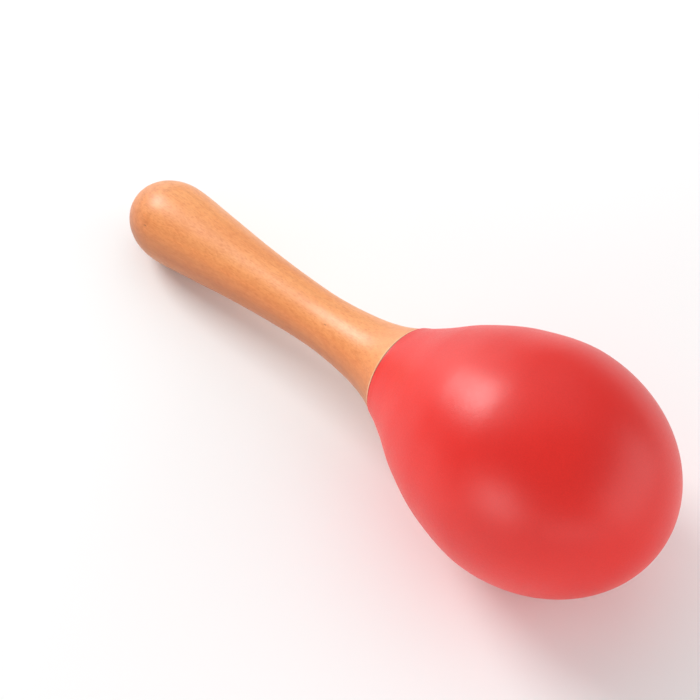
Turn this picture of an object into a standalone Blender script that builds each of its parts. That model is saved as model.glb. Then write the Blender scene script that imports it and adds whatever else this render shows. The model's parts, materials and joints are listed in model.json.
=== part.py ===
"""A maraca: a turned wooden handle glued into a hollow wooden head with loose steel shot inside.

It lies on its side, as it does on a table. +X runs from the handle towards the head, +Z is up, and the
origin is on the ground under the middle of the instrument. Sizes are in metres. Each turned piece is
modelled upright, with its own Z along the instrument's axis and Z = 0 at the handle's butt.
"""

import math
import random

import bmesh
import bpy
from mathutils import Matrix, Vector

# Outside of the instrument, as (distance from the butt, radius) where the turned line changes.
LENGTH = 0.200
BUTT_SWELL = (0.015, 0.0122)
HANDLE_LINE = [(0.030, 0.0110), (0.046, 0.0095), (0.062, 0.0085), (0.077, 0.0082), (0.090, 0.0093), (0.100, 0.0113)]
SEAM = (0.108, 0.0145)
HEAD_LINE = [(0.116, 0.0189), (0.126, 0.0252), (0.140, 0.0314)]
HEAD_SWELL = (0.158, 0.0349)
BUTT_FLAT_RADIUS = 0.0025

# Inside of the head.
WALL = 0.004
CAVITY_START = 0.119
TENON_RADIUS = 0.007
TENON_LENGTH = 0.013
TENON_CHAMFER = 0.001
RELIEF_DEPTH = 0.0007
RELIEF_WIDTH = 0.0015
LIP_LENGTH = 0.004
RIM_ROUND = 0.0005
GAP = 0.0003

# Loose shot.
SHOT_RADIUS = 0.00225
SHOT_COUNT = 28
SHOT_RINGS = 3
SHOT_PITCH = 0.0051
SHOT_SCATTER = 0.0001
SHOT_SEED = 5

# Fineness of the turned surfaces.
SIDES = 48
BUTT_STEPS = 5
HANDLE_STEPS = 17
NECK_STEPS = 12
DOME_STEPS = 10
CAVITY_STEPS = (14, 12)
LYING_STEPS = 400
SEARCH_ROUNDS = 50
SHARP_ANGLE = math.radians(30)


def turned_radius(along):
    """Radius of the instrument's outside at a distance from the butt."""
    stations = [BUTT_SWELL, *HANDLE_LINE, SEAM, *HEAD_LINE, HEAD_SWELL]
    if along < BUTT_SWELL[0]:
        return BUTT_SWELL[1] * math.sqrt(max(0, 1 - (1 - along / BUTT_SWELL[0]) ** 2))
    if along > HEAD_SWELL[0]:
        share = (along - HEAD_SWELL[0]) / (LENGTH - HEAD_SWELL[0])
        return HEAD_SWELL[1] * math.sqrt(max(0, 1 - share**2))
    slopes = [0.0]
    for before, after in zip(stations, stations[2:]):
        slopes.append((after[1] - before[1]) / (after[0] - before[0]))
    slopes.append(0.0)
    for index, (start, end) in enumerate(zip(stations, stations[1:])):
        if along <= end[0]:
            break
    span = end[0] - start[0]
    t = (along - start[0]) / span
    return (
        (1 + 2 * t) * (1 - t) ** 2 * start[1]
        + t * (1 - t) ** 2 * span * slopes[index]
        + t**2 * (3 - 2 * t) * end[1]
        + t**2 * (t - 1) * span * slopes[index + 1]
    )


def butt_line(steps):
    """Points of the rounded butt, from its small flat to the swell."""
    first = math.asin(BUTT_FLAT_RADIUS / BUTT_SWELL[1])
    angles = [first + (math.pi / 2 - first) * i / steps for i in range(steps)]
    return [(BUTT_SWELL[0] * (1 - math.cos(a)), BUTT_SWELL[1] * math.sin(a)) for a in angles]


def dome_line(steps):
    """Points of the head's far end, from its swell to its tip on the axis."""
    reach = LENGTH - HEAD_SWELL[0]
    angles = [math.pi / 2 * i / steps for i in range(steps + 1)]
    return [(HEAD_SWELL[0] + reach * math.sin(a), HEAD_SWELL[1] * math.cos(a)) for a in angles]


def turned_line(start, end, steps):
    """Evenly spaced points of the outside, both ends included."""
    stops = [start + (end - start) * i / steps for i in range(steps + 1)]
    return [(along, turned_radius(along)) for along in stops]


def inset(line, depth):
    """The line moved into the wood by depth, at right angles to itself."""
    moved = []
    for index, (along, radius) in enumerate(line):
        before = line[max(index - 1, 0)]
        after = line[min(index + 1, len(line) - 1)]
        run, rise = after[0] - before[0], after[1] - before[1]
        length = math.hypot(run, rise)
        if radius < 1e-6:
            moved.append((along - depth, 0.0))
        else:
            moved.append((along + depth * rise / length, radius - depth * run / length))
    return moved


def head_inset(depth):
    """The whole head's line moved in by depth, from the seam to the tip."""
    neck_steps, dome_steps = CAVITY_STEPS
    outside = turned_line(SEAM[0], HEAD_SWELL[0], neck_steps)[:-1] + dome_line(dome_steps)
    return inset(outside, depth)


def radius_on(line, along):
    """Radius of a line of points at a distance from the butt."""
    for (a0, r0), (a1, r1) in zip(line, line[1:]):
        if a0 <= along <= a1:
            return r0 + (r1 - r0) * (along - a0) / (a1 - a0)
    return 0.0


def finish(name, colour, roughness, metallic=0.0, coat=0.0):
    """A plain material for one kind of piece."""
    material = bpy.data.materials.new(name)
    material.use_nodes = True
    shader = material.node_tree.nodes["Principled BSDF"]
    shader.inputs["Base Color"].default_value = (*colour, 1)
    shader.inputs["Roughness"].default_value = roughness
    shader.inputs["Metallic"].default_value = metallic
    shader.inputs["Coat Weight"].default_value = coat
    return material


def turn(name, line, material, closed=False):
    """Turns a line of (along, radius) points into a solid. A closed line makes a ring."""
    mesh = bpy.data.meshes.new(name)
    shape = bmesh.new()
    corners = [shape.verts.new((radius, 0, along)) for along, radius in line]
    for first, second in zip(corners, corners[1:]):
        shape.edges.new((first, second))
    if closed:
        shape.edges.new((corners[-1], corners[0]))
    bmesh.ops.spin(
        shape,
        geom=shape.verts[:] + shape.edges[:],
        axis=(0, 0, 1),
        cent=(0, 0, 0),
        angle=2 * math.pi,
        steps=SIDES,
        use_merge=True,
    )
    bmesh.ops.remove_doubles(shape, verts=shape.verts, dist=1e-6)
    # Half a side of turn puts flats, not edges, under the instrument.
    bmesh.ops.rotate(shape, verts=shape.verts, matrix=Matrix.Rotation(math.pi / SIDES, 3, "Z"))
    bmesh.ops.recalc_face_normals(shape, faces=shape.faces)
    shape.to_mesh(mesh)
    shape.free()
    mesh.shade_smooth()
    mesh.set_sharp_from_angle(angle=SHARP_ANGLE)
    mesh.materials.append(material)
    piece = bpy.data.objects.new(name, mesh)
    bpy.context.collection.objects.link(piece)
    return piece


def make_handle(wood):
    """Rounded butt, waisted grip and flared shoulder, with a tenon for the head's neck."""
    shoulder = SEAM[0] - GAP
    tip = SEAM[0] + TENON_LENGTH
    root = shoulder + RELIEF_WIDTH
    butt = butt_line(BUTT_STEPS)
    line = [(butt[0][0], 0.0), *butt]
    line += turned_line(BUTT_SWELL[0], shoulder - RIM_ROUND, HANDLE_STEPS)
    line += [(shoulder, turned_radius(shoulder) - RIM_ROUND)]
    line += [(shoulder, TENON_RADIUS - RELIEF_DEPTH), (root, TENON_RADIUS - RELIEF_DEPTH)]
    line += [(root + RELIEF_DEPTH, TENON_RADIUS), (tip - TENON_CHAMFER, TENON_RADIUS)]
    line += [(tip, TENON_RADIUS - TENON_CHAMFER), (tip, 0.0)]
    return turn("handle", line, wood)


def make_neck_cup(lacquer):
    """The head's half next to the handle: a bored neck, and a lip that enters the other half."""
    joint = HEAD_SWELL[0] - GAP / 2
    bore = TENON_RADIUS + GAP
    step = HEAD_SWELL[1] - WALL / 2 - GAP / 2
    inner = head_inset(WALL)
    cavity = [point for point in inner if CAVITY_START < point[0] < joint]
    line = [(SEAM[0] + RIM_ROUND, bore), (SEAM[0], bore + RIM_ROUND)]
    line += [(SEAM[0], SEAM[1] - RIM_ROUND)]
    line += turned_line(SEAM[0] + RIM_ROUND, joint, NECK_STEPS)
    line += [(joint, step), (joint + LIP_LENGTH, step)]
    line += [(joint + LIP_LENGTH, radius_on(inner, joint + LIP_LENGTH))]
    line += reversed(cavity)
    line += [(CAVITY_START, radius_on(inner, CAVITY_START)), (CAVITY_START, bore)]
    return turn("neck_cup", line, lacquer, closed=True)


def make_dome_cup(lacquer):
    """The head's far half, with a step inside its rim for the other half's lip."""
    joint = HEAD_SWELL[0] + GAP / 2
    step = HEAD_SWELL[1] - WALL / 2 + GAP / 2
    seat = joint + LIP_LENGTH
    inner = head_inset(WALL)
    outside = [(joint, turned_radius(joint)), *dome_line(DOME_STEPS)[1:]]
    line = list(reversed(outside))
    line += [(joint, step), (seat, step), (seat, radius_on(inner, seat))]
    line += [point for point in inner if point[0] > seat + GAP]
    return turn("dome_cup", line, lacquer)


def lay_down(pieces):
    """Puts the turned pieces on the ground, resting on the head and on the butt's swell."""
    flat = math.cos(math.pi / SIDES)
    handle = [(along, radius * flat) for along, radius in turned_line(0, SEAM[0], LYING_STEPS)]
    head = [(along, radius * flat) for along, radius in turned_line(SEAM[0], LENGTH, LYING_STEPS)]
    low, high = 0.0, math.pi / 4
    for _ in range(SEARCH_ROUNDS):
        tilt = (low + high) / 2
        depths = [
            min(along * math.sin(tilt) - radius * math.cos(tilt) for along, radius in line)
            for line in (handle, head)
        ]
        low, high = (tilt, high) if depths[0] > depths[1] else (low, tilt)
    axis = bpy.data.objects.new("long_axis", None)
    bpy.context.collection.objects.link(axis)
    turned = Matrix.Rotation(math.pi / 2 - tilt, 4, "Y")
    corners = [turned @ vertex.co for piece in pieces for vertex in piece.data.vertices]
    lowest = Vector([min(corner[k] for corner in corners) for k in range(3)])
    highest = Vector([max(corner[k] for corner in corners) for k in range(3)])
    middle = (lowest + highest) / 2
    axis.matrix_world = Matrix.Translation((-middle.x, -middle.y, -lowest.z)) @ turned
    for piece in pieces:
        piece.parent = axis
    return axis


def wall_height(place, axis_frame, line, up):
    """Height over the ground at which a ball above or below the axis touches the cavity's wall."""
    inside, outside = 0.0, LENGTH
    foot = axis_frame.translation
    slope = axis_frame.to_3x3() @ Vector((0, 0, 1))
    on_axis = foot.z + (place.x - foot.x) * slope.z / slope.x
    for _ in range(SEARCH_ROUNDS):
        rise = (inside + outside) / 2
        point = Vector((place.x, place.y, on_axis + (rise if up else -rise)))
        local = axis_frame.inverted() @ point
        if math.hypot(local.x, local.y) < radius_on(line, local.z):
            inside = rise
        else:
            outside = rise
    return point.z


def hexagon_places(rings, pitch):
    """Places of a six-sided patch of balls round (0, 0)."""
    places = []
    for row in range(-rings, rings + 1):
        for column in range(-rings, rings + 1):
            if abs(row + column) <= rings:
                places.append(Vector((pitch * (column + row / 2), pitch * row * math.sqrt(3) / 2)))
    return sorted(places, key=lambda place: place.length)


def make_shot(steel, axis_frame):
    """Loose balls, one layer deep, in the lowest part of the cavity. Each keeps the height it can rise."""
    mesh = bpy.data.meshes.new("shot")
    shape = bmesh.new()
    bmesh.ops.create_icosphere(shape, subdivisions=2, radius=SHOT_RADIUS)
    shape.to_mesh(mesh)
    shape.free()
    mesh.shade_smooth()
    mesh.materials.append(steel)
    line = head_inset(WALL + SHOT_RADIUS + GAP)
    below = [axis_frame @ Vector((radius, 0, along)) for along, radius in line]
    pool = min(below, key=lambda point: point.z).xy
    scatter = random.Random(SHOT_SEED)
    places = hexagon_places(SHOT_RINGS, SHOT_PITCH)[:SHOT_COUNT]
    for number, place in enumerate(places, start=1):
        shift = Vector((scatter.uniform(-1, 1), scatter.uniform(-1, 1))) * SHOT_SCATTER
        spot = pool + place + shift
        rest = wall_height(spot, axis_frame, line, up=False)
        ball = bpy.data.objects.new(f"shot_{number:02d}", mesh)
        ball.location = (spot.x, spot.y, rest)
        ball["rise"] = wall_height(spot, axis_frame, line, up=True) - rest
        bpy.context.collection.objects.link(ball)


def main():
    for leftover in list(bpy.data.objects):
        bpy.data.objects.remove(leftover)
    wood = finish("clear_lacquered_beech", (0.83, 0.42, 0.18), 0.35, coat=0.3)
    lacquer = finish("red_satin_lacquer", (0.74, 0.035, 0.03), 0.38)
    steel = finish("steel_shot", (0.55, 0.55, 0.56), 0.25, metallic=1.0)
    turned = [make_handle(wood), make_neck_cup(lacquer), make_dome_cup(lacquer)]
    axis = lay_down(turned)
    make_shot(steel, axis.matrix_world.copy())


main()
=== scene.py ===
import json
import math
import bmesh
import bpy
from mathutils import Matrix, Vector


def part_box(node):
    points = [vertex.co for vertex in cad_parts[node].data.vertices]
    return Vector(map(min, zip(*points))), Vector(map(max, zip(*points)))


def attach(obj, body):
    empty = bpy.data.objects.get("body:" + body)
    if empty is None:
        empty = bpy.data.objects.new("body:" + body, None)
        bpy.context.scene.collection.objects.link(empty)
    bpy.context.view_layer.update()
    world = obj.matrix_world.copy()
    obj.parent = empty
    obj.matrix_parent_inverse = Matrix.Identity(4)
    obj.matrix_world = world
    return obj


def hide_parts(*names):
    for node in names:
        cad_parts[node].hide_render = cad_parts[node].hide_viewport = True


# A maraca lying on its side: lacquered beech handle, red satin head, loose steel shot inside.
# Every turned piece is drawn as a line of (distance from the butt, radius) points in metres,
# which is spun round the long axis.

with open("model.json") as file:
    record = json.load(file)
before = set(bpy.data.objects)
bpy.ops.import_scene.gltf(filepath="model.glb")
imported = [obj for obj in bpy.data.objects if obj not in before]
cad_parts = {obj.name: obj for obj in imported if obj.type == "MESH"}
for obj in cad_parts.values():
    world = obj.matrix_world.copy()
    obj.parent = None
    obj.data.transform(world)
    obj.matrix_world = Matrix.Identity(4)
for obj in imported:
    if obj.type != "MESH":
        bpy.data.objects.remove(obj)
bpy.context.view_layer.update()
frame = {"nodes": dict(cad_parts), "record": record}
print("frame loaded:", len(frame["nodes"]), "nodes")

outline = {
    "length": 0.200,
    "buttSwell": (0.015, 0.0122),
    "grip": [
        (0.030, 0.0110),
        (0.046, 0.0095),
        (0.062, 0.0085),
        (0.077, 0.0082),
        (0.090, 0.0093),
        (0.100, 0.0113),
    ],
    "seam": (0.108, 0.0145),
    "neck": [(0.116, 0.0189), (0.126, 0.0252), (0.140, 0.0314)],
    "headSwell": (0.158, 0.0349),
}
hollow = {
    "wall": 0.004,
    "start": 0.119,  # where the bore opens into it
    "bore": 0.0073,
    "boreChamfer": 0.0006,
    "lipLength": 0.004,
    "lipDepth": 0.002,
    "lipGap": 0.0003,  # room left for glue past the end of the lip
    "lipPlay": 0.0001,  # and outside it
}
sides = 160  # flats round each turned piece
skinDepth = 0.0005  # a face nearer to the outline than this is on the outside
smallStep = 0.0001  # points of an inside line stay this far from a corner
sharpCorner = math.radians(32)


def findLongAxis():
    # the butt's flat gives the axis and where it starts
    mount = next(m for m in frame["record"]["mounts"] if m["name"] == "butt_flat")
    direction = -Vector(mount["axis"]).normalized()
    swellAt, swellRadius = outline["buttSwell"]
    flatAt = swellAt * (1 - math.sqrt(1 - (handle["buttFlat"] / swellRadius) ** 2))
    start = Vector(mount["pos_m"]) - direction * flatAt
    side = Vector((0, 1, 0))
    turned = Matrix((side.cross(direction), side, direction)).transposed()
    return Matrix.Translation(start) @ turned.to_4x4()


def outsideRadius(along):
    swellAt, swellRadius = outline["buttSwell"]
    headAt, headRadius = outline["headSwell"]
    if along < swellAt:
        return swellRadius * math.sqrt(max(0, 1 - (1 - along / swellAt) ** 2))
    if along > headAt:
        share = (along - headAt) / (outline["length"] - headAt)
        return headRadius * math.sqrt(max(0, 1 - share**2))
    # between the two swells, a smooth curve through every point of the outline
    stations = [outline["buttSwell"], *outline["grip"], outline["seam"]]
    stations += [*outline["neck"], outline["headSwell"]]
    slopes = [0.0]
    for before, after in zip(stations, stations[2:]):
        slopes.append((after[1] - before[1]) / (after[0] - before[0]))
    slopes.append(0.0)
    index = max(i for i, station in enumerate(stations[:-1]) if station[0] <= along)
    start, end = stations[index], stations[index + 1]
    span = end[0] - start[0]
    t = (along - start[0]) / span
    return (
        (1 + 2 * t) * (1 - t) ** 2 * start[1]
        + t * (1 - t) ** 2 * span * slopes[index]
        + t**2 * (3 - 2 * t) * end[1]
        + t**2 * (t - 1) * span * slopes[index + 1]
    )


def outsideLine(start, end, steps):
    stops = [start + (end - start) * i / steps for i in range(steps + 1)]
    return [(along, outsideRadius(along)) for along in stops]


def domeLine(firstTurn, steps):
    # the far half of the head, as turns of an ellipse from its widest ring to its tip
    headAt, headRadius = outline["headSwell"]
    reach = outline["length"] - headAt
    turns = [firstTurn + (math.pi / 2 - firstTurn) * i / steps for i in range(steps + 1)]
    return [(headAt + reach * math.sin(a), headRadius * math.cos(a)) for a in turns]


def arc(centre, radius, start, end, steps):
    # a round stretch; 0 degrees points away from the axis and 90 towards the head's tip
    turns = [math.radians(start + (end - start) * i / steps) for i in range(steps + 1)]
    return [(centre[0] + radius * math.sin(a), centre[1] + radius * math.cos(a)) for a in turns]


def insetLine(line, depth):
    # the same line, moved into the piece by the depth
    moved = []
    for index, (along, radius) in enumerate(line):
        before, after = line[max(index - 1, 0)], line[min(index + 1, len(line) - 1)]
        run, rise = after[0] - before[0], after[1] - before[1]
        length = math.hypot(run, rise)
        moved.append((along + depth * rise / length, max(0.0, radius - depth * run / length)))
    return moved


def insideLine():
    headAt = outline["headSwell"][0]
    outside = outsideLine(outline["seam"][0], headAt, 60)[:-1] + domeLine(0, 48)
    inner = [point for point in insetLine(outside, hollow["wall"]) if point[1] > 1e-5]
    return inner + [(outline["length"] - hollow["wall"], 0.0)]


def radiusOn(line, along):
    for (a0, r0), (a1, r1) in zip(line, line[1:]):
        if a0 <= along <= a1:
            return r0 + (r1 - r0) * (along - a0) / (a1 - a0)
    return 0.0


def turn(name, line, materials, pickMaterial, closed=False):
    shape = bmesh.new()
    corners = [shape.verts.new((radius, 0, along)) for along, radius in line]
    for first, second in zip(corners, corners[1:]):
        shape.edges.new((first, second))
    if closed:
        shape.edges.new((corners[-1], corners[0]))
    bmesh.ops.spin(
        shape,
        geom=shape.verts[:] + shape.edges[:],
        axis=(0, 0, 1),
        cent=(0, 0, 0),
        angle=2 * math.pi,
        steps=sides,
        use_merge=True,
    )
    bmesh.ops.remove_doubles(shape, verts=shape.verts, dist=1e-6)
    bmesh.ops.recalc_face_normals(shape, faces=shape.faces)
    for face in shape.faces:
        middle = face.calc_center_median()
        face.material_index = pickMaterial(middle.z, middle.xy.length)
    bmesh.ops.transform(shape, matrix=longAxis, verts=shape.verts)
    return finishPiece(name, shape, materials)


def finishPiece(name, shape, materials):
    mesh = bpy.data.meshes.new(name)
    shape.to_mesh(mesh)
    shape.free()
    mesh.shade_smooth()
    mesh.set_sharp_from_angle(angle=sharpCorner)
    for material in materials:
        mesh.materials.append(material)
    piece = bpy.data.objects.new(name, mesh)
    bpy.context.scene.collection.objects.link(piece)
    return piece


def newMaterial(name):
    material = bpy.data.materials.new(name)
    material.use_nodes = True
    tree = material.node_tree
    return material, tree, tree.nodes["Principled BSDF"]


def axisCoordinates(tree):
    # Object coordinates turned so that Z runs along the maraca, from the butt
    place = tree.nodes.new("ShaderNodeTexCoord")
    turned = tree.nodes.new("ShaderNodeMapping")
    back = longAxis.inverted()
    turned.inputs["Location"].default_value = back.translation
    turned.inputs["Rotation"].default_value = back.to_euler()
    tree.links.new(place.outputs["Object"], turned.inputs["Vector"])
    return turned.outputs["Vector"]


def stretched(tree, vector, scale, offset=(0, 0, 0)):
    mapping = tree.nodes.new("ShaderNodeMapping")
    mapping.inputs["Scale"].default_value = scale
    mapping.inputs["Location"].default_value = offset
    tree.links.new(vector, mapping.inputs["Vector"])
    return mapping.outputs["Vector"]


def noise(tree, vector, scale=1.0, detail=2.0, roughness=0.5, distortion=0.0):
    node = tree.nodes.new("ShaderNodeTexNoise")
    node.inputs["Scale"].default_value = scale
    node.inputs["Detail"].default_value = detail
    node.inputs["Roughness"].default_value = roughness
    node.inputs["Distortion"].default_value = distortion
    tree.links.new(vector, node.inputs["Vector"])
    return node.outputs["Fac"]


def ramp(tree, value, stops):
    node = tree.nodes.new("ShaderNodeValToRGB")
    points = node.color_ramp.elements
    while len(points) < len(stops):
        points.new(0.5)
    for point, (place, colour) in zip(points, stops):
        point.position = place
        point.color = (*colour, 1) if len(colour) == 3 else colour
    tree.links.new(value, node.inputs["Fac"])
    return node.outputs["Color"]


def grey(level):
    return (level, level, level)


def feed(tree, socket, value):
    # value is another node's output, or a plain number or colour
    if isinstance(value, bpy.types.NodeSocket):
        tree.links.new(value, socket)
    else:
        socket.default_value = value


def mixColour(tree, mode, factor, first, second):
    node = tree.nodes.new("ShaderNodeMix")
    node.data_type = "RGBA"
    node.blend_type = mode
    feed(tree, node.inputs["Factor"], factor)
    feed(tree, node.inputs["A"], first)
    feed(tree, node.inputs["B"], second)
    return node.outputs["Result"]


def mathNode(tree, operation, first, second=0.0):
    node = tree.nodes.new("ShaderNodeMath")
    node.operation = operation
    feed(tree, node.inputs[0], first)
    feed(tree, node.inputs[1], second)
    return node.outputs["Value"]


def bump(tree, height, distance, strength, normal=None):
    node = tree.nodes.new("ShaderNodeBump")
    node.inputs["Strength"].default_value = strength
    node.inputs["Distance"].default_value = distance
    tree.links.new(height, node.inputs["Height"])
    if normal is not None:
        tree.links.new(normal, node.inputs["Normal"])
    return node.outputs["Normal"]


wood = {
    # a size counts features to the metre, the last number along the grain
    "pale": (0.93, 0.435, 0.175),
    "warm": (0.895, 0.366, 0.126),
    "deep": (0.805, 0.288, 0.087),
    "figureSize": (60, 60, 10),
    # the next four set the painted shade on the stick's flank that faces away from the key light
    "shadedFlankSide": (0.42, -0.91, 0),
    "shadedFlankWaver": 0.3,
    "towardsShadedFlank": (0.90, 0.79, 0.67),
    "deepFlankShade": (0.60, 0.47, 0.36),
    "ringSize": (95, 95, 7),
    "mottleSize": (900, 900, 420),
    "mottleDark": (0.94, 0.85, 0.76),
    "mottlePale": (1.03, 1.07, 1.12),
    "fibreSize": (2600, 2600, 320),
    "fibreDark": (0.92, 0.83, 0.73),
    "fibrePale": (1.04, 1.07, 1.10),
    "fibreDepth": 0.00003,
    "raySize": (2500, 2500, 900),
    "rayStrength": 0.34,
    "fleck": (0.60, 0.150, 0.030, 1),
    "poreSize": (210, 210, 70),
    "poresLeftOut": 0.62,
    "poreStrength": 0.75,
    "pore": (0.30, 0.085, 0.022, 1),
    # the darkening towards the butt: end grain, and painted shade further up the handle
    "endGrainAndShade": (0.68, 0.53, 0.37),
    "endGrainAndShadeReach": 0.034,
    "endGrainAndShadePatches": 0.6,
    "endGrainAndShadeFade": (0.30, 0.78125),
    # the colour and share of the painted highlight on the shoulder's corner
    "cornerHighlight": (0.98, 0.64, 0.42, 1),
    "cornerHighlightStrength": 0.75,
    "roughness": (0.42, 0.52),
    "coat": 0.55,
    "coatRoughness": 0.36,
    "coatTint": (0.97, 0.88, 0.76, 1),
    "coatPeelSize": 700,
    "coatPeelDepth": 0.00008,
}


def woodColours(tree, along):
    # broad figure of the block, drawn out along the grain
    figure = noise(tree, stretched(tree, along, wood["figureSize"]), detail=3, distortion=0.5)
    colour = ramp(tree, figure, [(0.25, wood["deep"]), (0.50, wood["warm"]), (0.78, wood["pale"])])
    # painted shade: the stick's flank turned away from the key light is darkened, laid into the
    # wood's colour as a darker heart side of the block
    around = tree.nodes.new("ShaderNodeVectorMath")
    around.operation = "NORMALIZE"
    tree.links.new(stretched(tree, along, (1, 1, 0)), around.inputs[0])
    facing = tree.nodes.new("ShaderNodeVectorMath")
    facing.operation = "DOT_PRODUCT"
    facing.inputs[1].default_value = wood["shadedFlankSide"]
    tree.links.new(around.outputs["Vector"], facing.inputs[0])
    waver = mathNode(tree, "SUBTRACT", figure, 0.5)
    waver = mathNode(tree, "MULTIPLY", waver, wood["shadedFlankWaver"])
    flankShadeShare = mathNode(tree, "ADD", facing.outputs["Value"], waver)
    flankShadeStops = [(0.12, grey(1.0)), (0.46, wood["towardsShadedFlank"]), (0.88, wood["deepFlankShade"])]
    paintedFlankShade = ramp(tree, flankShadeShare, flankShadeStops)
    colour = mixColour(tree, "MULTIPLY", 1.0, colour, paintedFlankShade)
    # growth rings, faint, where the lathe cut through them
    rings = tree.nodes.new("ShaderNodeTexWave")
    rings.wave_type = "RINGS"
    rings.rings_direction = "Z"
    rings.inputs["Scale"].default_value = 1.0
    rings.inputs["Distortion"].default_value = 2.2
    rings.inputs["Detail"].default_value = 3
    rings.inputs["Detail Scale"].default_value = 0.8
    tree.links.new(stretched(tree, along, wood["ringSize"], (2.6, 1.1, 0)), rings.inputs["Vector"])
    ringStops = [(0.0, grey(0.955)), (0.6, grey(1.0)), (1.0, grey(0.98))]
    ringShade = ramp(tree, rings.outputs["Fac"], ringStops)
    colour = mixColour(tree, "MULTIPLY", 1.0, colour, ringShade)
    # soft mottling, and the fibres in it
    mottle = noise(tree, stretched(tree, along, wood["mottleSize"]), detail=3, roughness=0.6)
    mottleStops = [(0.30, wood["mottleDark"]), (0.50, grey(1.0)), (0.72, wood["mottlePale"])]
    mottleShade = ramp(tree, mottle, mottleStops)
    colour = mixColour(tree, "MULTIPLY", 1.0, colour, mottleShade)
    fibres = noise(tree, stretched(tree, along, wood["fibreSize"]), detail=3, roughness=0.6)
    fibreStops = [(0.25, wood["fibreDark"]), (0.55, grey(1.0)), (0.80, wood["fibrePale"])]
    fibreShade = ramp(tree, fibres, fibreStops)
    colour = mixColour(tree, "MULTIPLY", 1.0, colour, fibreShade)
    # short dark rays, each a millimetre or two along the grain
    rayPlace = stretched(tree, along, wood["raySize"], (3, 7, 2))
    rays = noise(tree, rayPlace, detail=1, roughness=0.4)
    rayShare = ramp(tree, rays, [(0.50, grey(0.0)), (0.72, grey(wood["rayStrength"]))])
    colour = mixColour(tree, "MIX", rayShare, colour, wood["fleck"])
    # a few open pores
    cells = tree.nodes.new("ShaderNodeTexVoronoi")
    cells.inputs["Scale"].default_value = 1.0
    porePlace = stretched(tree, along, wood["poreSize"], (0.4, 0.2, 0.7))
    tree.links.new(porePlace, cells.inputs["Vector"])
    dotStops = [(0.025, grey(wood["poreStrength"])), (0.060, grey(0.0))]
    dot = ramp(tree, cells.outputs["Distance"], dotStops)
    chance = tree.nodes.new("ShaderNodeSeparateColor")
    tree.links.new(cells.outputs["Color"], chance.inputs["Color"])
    chosen = mathNode(tree, "GREATER_THAN", chance.outputs["Red"], wood["poresLeftOut"])
    poreShare = mathNode(tree, "MULTIPLY", chosen, dot)
    return mixColour(tree, "MIX", poreShare, colour, wood["pore"]), fibres


def makeHandleWood():
    material, tree, shader = newMaterial("clearLacqueredBeech")
    along = axisCoordinates(tree)
    colour, fibres = woodColours(tree, along)
    # darker towards the butt, unevenly: end grain on the rounded butt takes more of the finish, and
    # painted shade carries the darkening further up the handle
    split = tree.nodes.new("ShaderNodeSeparateXYZ")
    tree.links.new(along, split.inputs["Vector"])
    patches = noise(tree, along, scale=500, detail=4, roughness=0.65)
    depth = mathNode(tree, "MULTIPLY", split.outputs["Z"], 1 / wood["endGrainAndShadeReach"])
    patches = mathNode(tree, "MULTIPLY", patches, wood["endGrainAndShadePatches"])
    depth = mathNode(tree, "ADD", depth, patches)
    fadeStart, fadeEnd = wood["endGrainAndShadeFade"]
    endGrainAndShade = ramp(tree, depth, [(fadeStart, wood["endGrainAndShade"]), (fadeEnd, grey(1.0))])
    colour = mixColour(tree, "MULTIPLY", 1.0, colour, endGrainAndShade)
    # a painted highlight: a pale band along the shoulder's rounded corner, as if the corner caught
    # the light
    cornerHighlightStart = handle["shoulder"] - handle["shoulderRound"] - handle["cornerHighlightWidth"]
    pastStart = mathNode(tree, "SUBTRACT", split.outputs["Z"], cornerHighlightStart)
    pastStart = mathNode(tree, "MULTIPLY", pastStart, 1000)  # in millimetres
    cornerHighlight = ramp(tree, pastStart, [(0.0, grey(0.0)), (0.12, grey(wood["cornerHighlightStrength"]))])
    colour = mixColour(tree, "MIX", cornerHighlight, colour, wood["cornerHighlight"])
    tree.links.new(colour, shader.inputs["Base Color"])
    low, high = wood["roughness"]
    streaks = noise(tree, stretched(tree, along, (900, 900, 200)), detail=2)
    rough = ramp(tree, streaks, [(0.3, grey(low)), (0.7, grey(high))])
    tree.links.new(rough, shader.inputs["Roughness"])
    shader.inputs["Coat Weight"].default_value = wood["coat"]
    shader.inputs["Coat Roughness"].default_value = wood["coatRoughness"]
    shader.inputs["Coat Tint"].default_value = wood["coatTint"]
    fine = bump(tree, fibres, wood["fibreDepth"], 0.5)
    peel = noise(tree, along, scale=wood["coatPeelSize"], detail=2)
    peelOnFibres = bump(tree, peel, wood["coatPeelDepth"], 0.35, fine)
    tree.links.new(peelOnFibres, shader.inputs["Normal"])
    peelAlone = bump(tree, peel, wood["coatPeelDepth"], 0.35)
    tree.links.new(peelAlone, shader.inputs["Coat Normal"])
    return material


bareWoodFinish = {
    "colour": (0.80, 0.58, 0.36, 1),
    "colourShare": 0.45,
    "roughness": 0.78,
    "gougePitch": 0.0007,
    "gougeDepth": 0.00004,
    "fibreDepth": 0.00008,
}


def makeBareWood():
    material, tree, shader = newMaterial("bareBeech")
    along = axisCoordinates(tree)
    colour, fibres = woodColours(tree, along)
    pale = mixColour(tree, "MIX", bareWoodFinish["colourShare"], colour, bareWoodFinish["colour"])
    tree.links.new(pale, shader.inputs["Base Color"])
    shader.inputs["Roughness"].default_value = bareWoodFinish["roughness"]
    # the gouge leaves fine rings
    split = tree.nodes.new("ShaderNodeSeparateXYZ")
    tree.links.new(along, split.inputs["Vector"])
    turns = mathNode(tree, "MULTIPLY", split.outputs["Z"], 2 * math.pi / bareWoodFinish["gougePitch"])
    cut = bump(tree, mathNode(tree, "SINE", turns), bareWoodFinish["gougeDepth"], 0.6)
    rough = bump(tree, fibres, bareWoodFinish["fibreDepth"], 0.7, cut)
    tree.links.new(rough, shader.inputs["Normal"])
    return material


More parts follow.
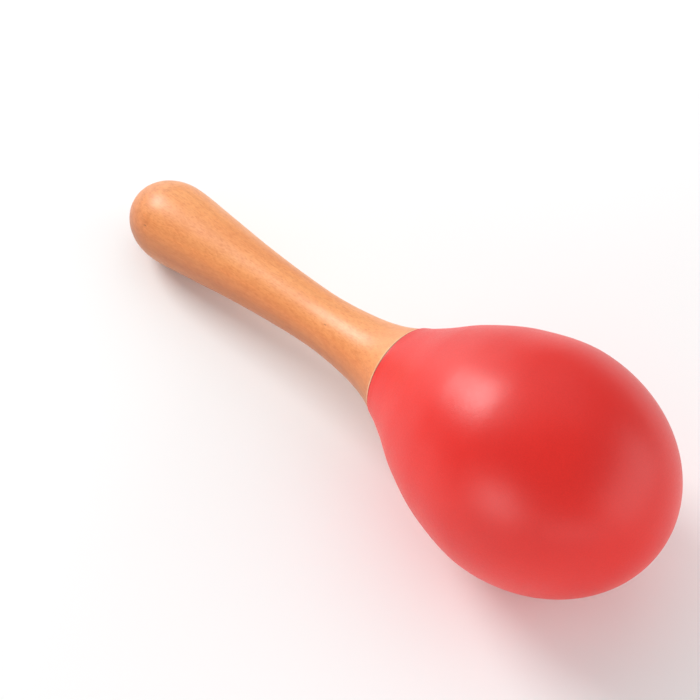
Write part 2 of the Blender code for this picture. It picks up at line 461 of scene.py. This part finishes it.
lacquer = {
    "main": (0.735, 0.0095, 0.0034),
    "thin": (0.760, 0.0110, 0.0044),
    "thick": (0.710, 0.0078, 0.0028),
    "cloudSize": 45,
    "speckSize": 2600,
    "roughness": (0.35, 0.41),
    "roughnessSize": 1500,
    "specular": 0.56,
    "peelSize": 900,
    "peelDepth": 0.00010,
    "toothSize": 3400,
    "toothDepth": 0.00009,
    # the dark edge colour: lacquer run into the joint, and painted shade in the groove
    "edge": (0.13, 0.008, 0.006, 1),
    "edgeRoughness": 0.55,
}


def makeRedLacquer():
    material, tree, shader = newMaterial("redSatinLacquer")
    along = axisCoordinates(tree)
    cloud = noise(tree, along, scale=lacquer["cloudSize"], detail=3)
    cloudStops = [(0.30, lacquer["thick"]), (0.50, lacquer["main"]), (0.70, lacquer["thin"])]
    colour = ramp(tree, cloud, cloudStops)
    speck = noise(tree, along, scale=lacquer["speckSize"], detail=2)
    speckShade = ramp(tree, speck, [(0.3, grey(0.95)), (0.7, grey(1.03))])
    colour = mixColour(tree, "MULTIPLY", 1.0, colour, speckShade)
    tree.links.new(colour, shader.inputs["Base Color"])
    shader.inputs["Specular IOR Level"].default_value = lacquer["specular"]
    low, high = lacquer["roughness"]
    patches = noise(tree, along, scale=lacquer["roughnessSize"], detail=2)
    matt = ramp(tree, patches, [(0.3, grey(low)), (0.7, grey(high))])
    tree.links.new(matt, shader.inputs["Roughness"])
    # orange peel, and the finer tooth of the satin finish on it
    peel = noise(tree, along, scale=lacquer["peelSize"], detail=2, roughness=0.5)
    tooth = noise(tree, along, scale=lacquer["toothSize"], detail=2, roughness=0.6)
    soft = bump(tree, peel, lacquer["peelDepth"], 0.3)
    satin = bump(tree, tooth, lacquer["toothDepth"], 0.4, soft)
    tree.links.new(satin, shader.inputs["Normal"])
    return material


def makeLacquerEdgeAndShade():
    # the dark line where the red runs into the joint with the handle: lacquer run in, and painted
    # shade on the groove's walls
    material, tree, shader = newMaterial("lacquerEdgeAndShade")
    patches = noise(tree, axisCoordinates(tree), scale=700, detail=3)
    shade = ramp(tree, patches, [(0.3, grey(0.7)), (0.7, grey(1.0))])
    dark = mixColour(tree, "MULTIPLY", 1.0, shade, lacquer["edge"])
    tree.links.new(dark, shader.inputs["Base Color"])
    shader.inputs["Roughness"].default_value = lacquer["edgeRoughness"]
    return material


shot = {
    "dull": (0.50, 0.50, 0.52),
    "bright": (0.66, 0.66, 0.66),
    "roughness": (0.16, 0.34),
    "scuffSize": (900, 900, 5000),
    "scuffDepth": 0.00002,
    "roundness": 4,  # steps of the icosphere, 1280 faces a ball
}


def makeSteel():
    material, tree, shader = newMaterial("shotSteel")
    place = tree.nodes.new("ShaderNodeTexCoord").outputs["Object"]
    shader.inputs["Metallic"].default_value = 1.0
    patches = noise(tree, place, scale=900, detail=3)
    tint = ramp(tree, patches, [(0.3, shot["dull"]), (0.7, shot["bright"])])
    tree.links.new(tint, shader.inputs["Base Color"])
    scuffs = noise(tree, stretched(tree, place, shot["scuffSize"]), detail=4, distortion=1.5)
    low, high = shot["roughness"]
    rough = ramp(tree, scuffs, [(0.35, grey(low)), (0.65, grey(high))])
    tree.links.new(rough, shader.inputs["Roughness"])
    tree.links.new(bump(tree, scuffs, shot["scuffDepth"], 0.4), shader.inputs["Normal"])
    return material


handle = {
    "buttFlat": 0.0025,
    "shoulder": 0.10780,
    "shoulderRound": 0.00025,
    "shoulderDrop": 0.00014,  # how far the wood is sanded below the outline at the shoulder
    # how far before the shoulder's corner the painted highlight starts
    "cornerHighlightWidth": 0.0003,
    "tenonRadius": 0.0070,
    "tenonEnd": 0.121,
    "reliefDepth": 0.0007,  # a groove at the foot of the tenon, for the glue
    "reliefWidth": 0.0015,
    "chamfer": 0.001,
}
head = {
    "rimProud": 0.00034,
    "rimRound": 0.00045,
    "rimFade": 0.0032,
    # the next two mark where the dark edge lies: lacquer run in, and painted shade in the joint
    "edgeAndShadeWidth": 0.00026,
    "edgeAndShadeReach": 0.003,  # how far the dark edge runs down into the joint
    "glueLine": 0.001,
}

longAxis = findLongAxis()


def makeHandle(clear, bare, edgeAndShadeRed):
    swellAt, swellRadius = outline["buttSwell"]
    firstTurn = math.asin(handle["buttFlat"] / swellRadius)
    buttSteps = 28
    line = [(swellAt * (1 - math.cos(firstTurn)), 0.0)]
    for i in range(buttSteps + 1):
        a = firstTurn + (math.pi / 2 - firstTurn) * i / buttSteps
        line.append((swellAt * (1 - math.cos(a)), swellRadius * math.sin(a)))
    shoulder, edge = handle["shoulder"], handle["shoulderRound"]
    top = outsideRadius(shoulder - edge) - handle["shoulderDrop"]
    for along, radius in outsideLine(swellAt, shoulder - edge, 118)[1:-1]:
        line.append((along, radius - handle["shoulderDrop"] * (along / shoulder) ** 12))
    line += arc((shoulder - edge, top - edge * 0.75), edge * 0.9, -12, 88, 8)
    # then the shoulder's flat face, the groove and the tenon
    relief = handle["tenonRadius"] - handle["reliefDepth"]
    tenon, end = handle["tenonRadius"], handle["tenonEnd"]
    line += [(shoulder, top - edge * 1.4), (shoulder, relief)]
    line += [(shoulder + handle["reliefWidth"], relief)]
    line += [(shoulder + handle["reliefWidth"] + handle["reliefDepth"], tenon)]
    line += [(shoulder + (end - shoulder) * i / 8, tenon) for i in range(3, 8)]
    line += [(end - handle["chamfer"], tenon), (end, tenon - handle["chamfer"]), (end, 0.0)]

    # the shoulder's face in the joint takes the dark edge, partly painted shade
    def pick(along, radius):
        if along > shoulder - 0.00002:
            return 2 if radius > top - head["edgeAndShadeReach"] else 1
        return 0

    piece = turn("turnedHandle", line, [clear, bare, edgeAndShadeRed], pick)
    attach(piece, "maraca")
    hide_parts("handle")


def headRim():
    # the red starts with a small rounded rim, a little proud of the wood
    seamAt, seamRadius = outline["seam"]
    top = seamRadius + head["rimProud"]
    edge = head["rimRound"]
    return arc((seamAt + edge, top - edge), edge, -90, 0, 8)


def makeNeckCup(red, bare, edgeAndShadeRed):
    seamAt, seamRadius = outline["seam"]
    headAt, headRadius = outline["headSwell"]
    inner = insideLine()
    lipEnd = headAt + hollow["lipLength"]
    lipOuter = headRadius - hollow["lipDepth"]
    hair = 0.00004  # a hair-thin ring keeps the shading level where the two cups meet
    chamfer = hollow["boreChamfer"]
    line = [(seamAt + chamfer, hollow["bore"]), (seamAt, hollow["bore"] + chamfer)]
    line += [(seamAt, seamRadius - head["edgeAndShadeReach"]), (seamAt, seamRadius - head["glueLine"])]
    line += headRim()
    for along, radius in outsideLine(seamAt + head["rimRound"], headAt - hair, 84)[1:]:
        fade = max(0, 1 - (along - seamAt) / head["rimFade"]) ** 2
        line.append((along, radius + head["rimProud"] * fade))
    # the lip, then back along the inside to the bore
    line += [(headAt, headRadius), (headAt, lipOuter)]
    line += [(lipEnd, lipOuter - hollow["lipPlay"]), (lipEnd, radiusOn(inner, lipEnd))]
    start, end = hollow["start"], lipEnd - smallStep
    line += [point for point in reversed(inner) if start < point[0] < end]
    line += [(start, radiusOn(inner, start)), (start, hollow["bore"])]

    # the rim's front face in the joint takes the dark edge, partly painted shade
    def pick(along, radius):
        if along < seamAt + head["edgeAndShadeWidth"] and radius > seamRadius - head["edgeAndShadeReach"]:
            return 2
        return 0 if along < headAt and radius > outsideRadius(along) - skinDepth else 1

    piece = turn("neckCup", line, [red, bare, edgeAndShadeRed], pick, closed=True)
    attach(piece, "maraca")
    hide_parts("neck_cup")


def makeDomeCup(red, bare):
    headAt, headRadius = outline["headSwell"]
    inner = insideLine()
    seat = headAt + hollow["lipLength"] + hollow["lipGap"]
    step = headRadius - hollow["lipDepth"] + hollow["lipPlay"]
    hairTurn = 0.001  # the same thin ring on this side of the joint
    line = list(reversed(domeLine(hairTurn, 72))) + [(headAt, headRadius)]
    line += [(headAt, step), (seat, step), (seat, radiusOn(inner, seat))]
    line += [point for point in inner if point[0] > seat + smallStep]

    def pick(along, radius):
        outside = radius > outsideRadius(along) - skinDepth and along > headAt + 1e-6
        return 0 if outside else 1

    piece = turn("domeCup", line, [red, bare], pick)
    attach(piece, "maraca")
    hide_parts("dome_cup")


def makeShot(steel):
    balls = [name for name in sorted(frame["nodes"]) if name.startswith("shot_")]
    for name in balls:
        low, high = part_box(name)
        shape = bmesh.new()
        radius = (high.z - low.z) / 2
        bmesh.ops.create_icosphere(shape, subdivisions=shot["roundness"], radius=radius)
        bmesh.ops.translate(shape, verts=shape.verts, vec=(low + high) / 2)
        piece = finishPiece("steelBall" + name[-2:], shape, [steel])
        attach(piece, name)
        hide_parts(name)
    return len(balls)


clearWood = makeHandleWood()
bareWood = makeBareWood()
redLacquer = makeRedLacquer()
lacquerEdgeAndShade = makeLacquerEdgeAndShade()
shotSteel = makeSteel()
print("materials made")
makeHandle(clearWood, bareWood, lacquerEdgeAndShade)
makeNeckCup(redLacquer, bareWood, lacquerEdgeAndShade)
makeDomeCup(redLacquer, bareWood)
print("turned pieces made")
print("shot made:", makeShot(shotSteel), "balls")


floor = {
    "radius": 4.0,
    "colour": (0.955, 0.955, 0.955),
    "shade": (0.95, 0.95, 0.95),
    "roughness": 0.9,
    "specular": 0.1,
}
studio = {
    "ambient": 0.46,
    "cameraPlace": (0.32963, -0.35718, 0.73530),
    "cameraAzimuth": 43.8,
    "cameraElevation": 55.39,
    "lens": 157.94,
    "sensor": 36,
}
# a softbox stands (azimuth, elevation, distance) from the head; azimuth 0 is towards -Y
# and 90 towards +X; its size is (width, height), and its radiance is what a mirror would show
lights = {
    "key": {"place": (-87, 32, 1.1), "size": (0.46, 0.34), "radiance": 14.2},
    "front": {"place": (-4, 13, 0.45), "size": (0.32, 0.25), "radiance": 7.0, "spread": 35},
    "back": {"place": (118, 20, 1.1), "size": (1.60, 0.75), "radiance": 1.55},
    "side": {"place": (50, 8, 1.1), "size": (1.00, 0.25), "radiance": 1.75},
    "rim": {"place": (-112, 8, 1.1), "size": (0.60, 0.28), "radiance": 1.5},
    "top": {"place": (-130, 52, 1.1), "size": (1.20, 1.10), "radiance": 0.5},
}


def makeFloor():
    material, tree, shader = newMaterial("paleFloor")
    place = tree.nodes.new("ShaderNodeTexCoord").outputs["Object"]
    patches = noise(tree, place, scale=3, detail=2)
    colour = ramp(tree, patches, [(0.3, floor["shade"]), (0.7, floor["colour"])])
    tree.links.new(colour, shader.inputs["Base Color"])
    shader.inputs["Roughness"].default_value = floor["roughness"]
    shader.inputs["Specular IOR Level"].default_value = floor["specular"]
    shape = bmesh.new()
    bmesh.ops.create_circle(shape, cap_ends=True, segments=96, radius=floor["radius"])
    piece = finishPiece("floor", shape, [material])


def makeLight(name, spec):
    azimuth, elevation = (math.radians(angle) for angle in spec["place"][:2])
    distance = spec["place"][2]
    width, height = spec["size"]
    level = math.cos(elevation)
    away = Vector((math.sin(azimuth) * level, -math.cos(azimuth) * level, math.sin(elevation)))
    data = bpy.data.lights.new(name, "AREA")
    data.shape = "RECTANGLE"
    data.size, data.size_y = width, height
    data.energy = spec["radiance"] * math.pi * width * height
    if "spread" in spec:
        # a grid on the softbox; the same radiance straight ahead then takes less power
        data.spread = math.radians(spec["spread"])
        data.energy *= 1 - data.spread / 2 / math.tan(data.spread / 2)
    lamp = bpy.data.objects.new(name, data)
    headMiddle = longAxis @ Vector((0, 0, outline["headSwell"][0]))
    lamp.location = headMiddle + away * distance
    lamp.rotation_euler = (-away).to_track_quat("-Z", "Y").to_euler()
    bpy.context.scene.collection.objects.link(lamp)


def makeWorld():
    world = bpy.data.worlds.new("studio")
    bpy.context.scene.world = world
    world.use_nodes = True
    background = world.node_tree.nodes["Background"]
    background.inputs["Color"].default_value = (1, 1, 1, 1)
    background.inputs["Strength"].default_value = studio["ambient"]


def makeCamera():
    azimuth = math.radians(studio["cameraAzimuth"])
    elevation = math.radians(studio["cameraElevation"])
    data = bpy.data.cameras.new("camera")
    data.lens = studio["lens"]
    data.sensor_width = studio["sensor"]
    camera = bpy.data.objects.new("camera", data)
    camera.location = studio["cameraPlace"]
    camera.rotation_euler = (math.pi / 2 - elevation, 0, azimuth)
    bpy.context.scene.collection.objects.link(camera)
    bpy.context.scene.camera = camera


bpy.context.scene.view_settings.view_transform = "Standard"
makeFloor()
for lightName, lightSpec in lights.items():
    makeLight(lightName, lightSpec)
makeWorld()
makeCamera()
print("stage made")
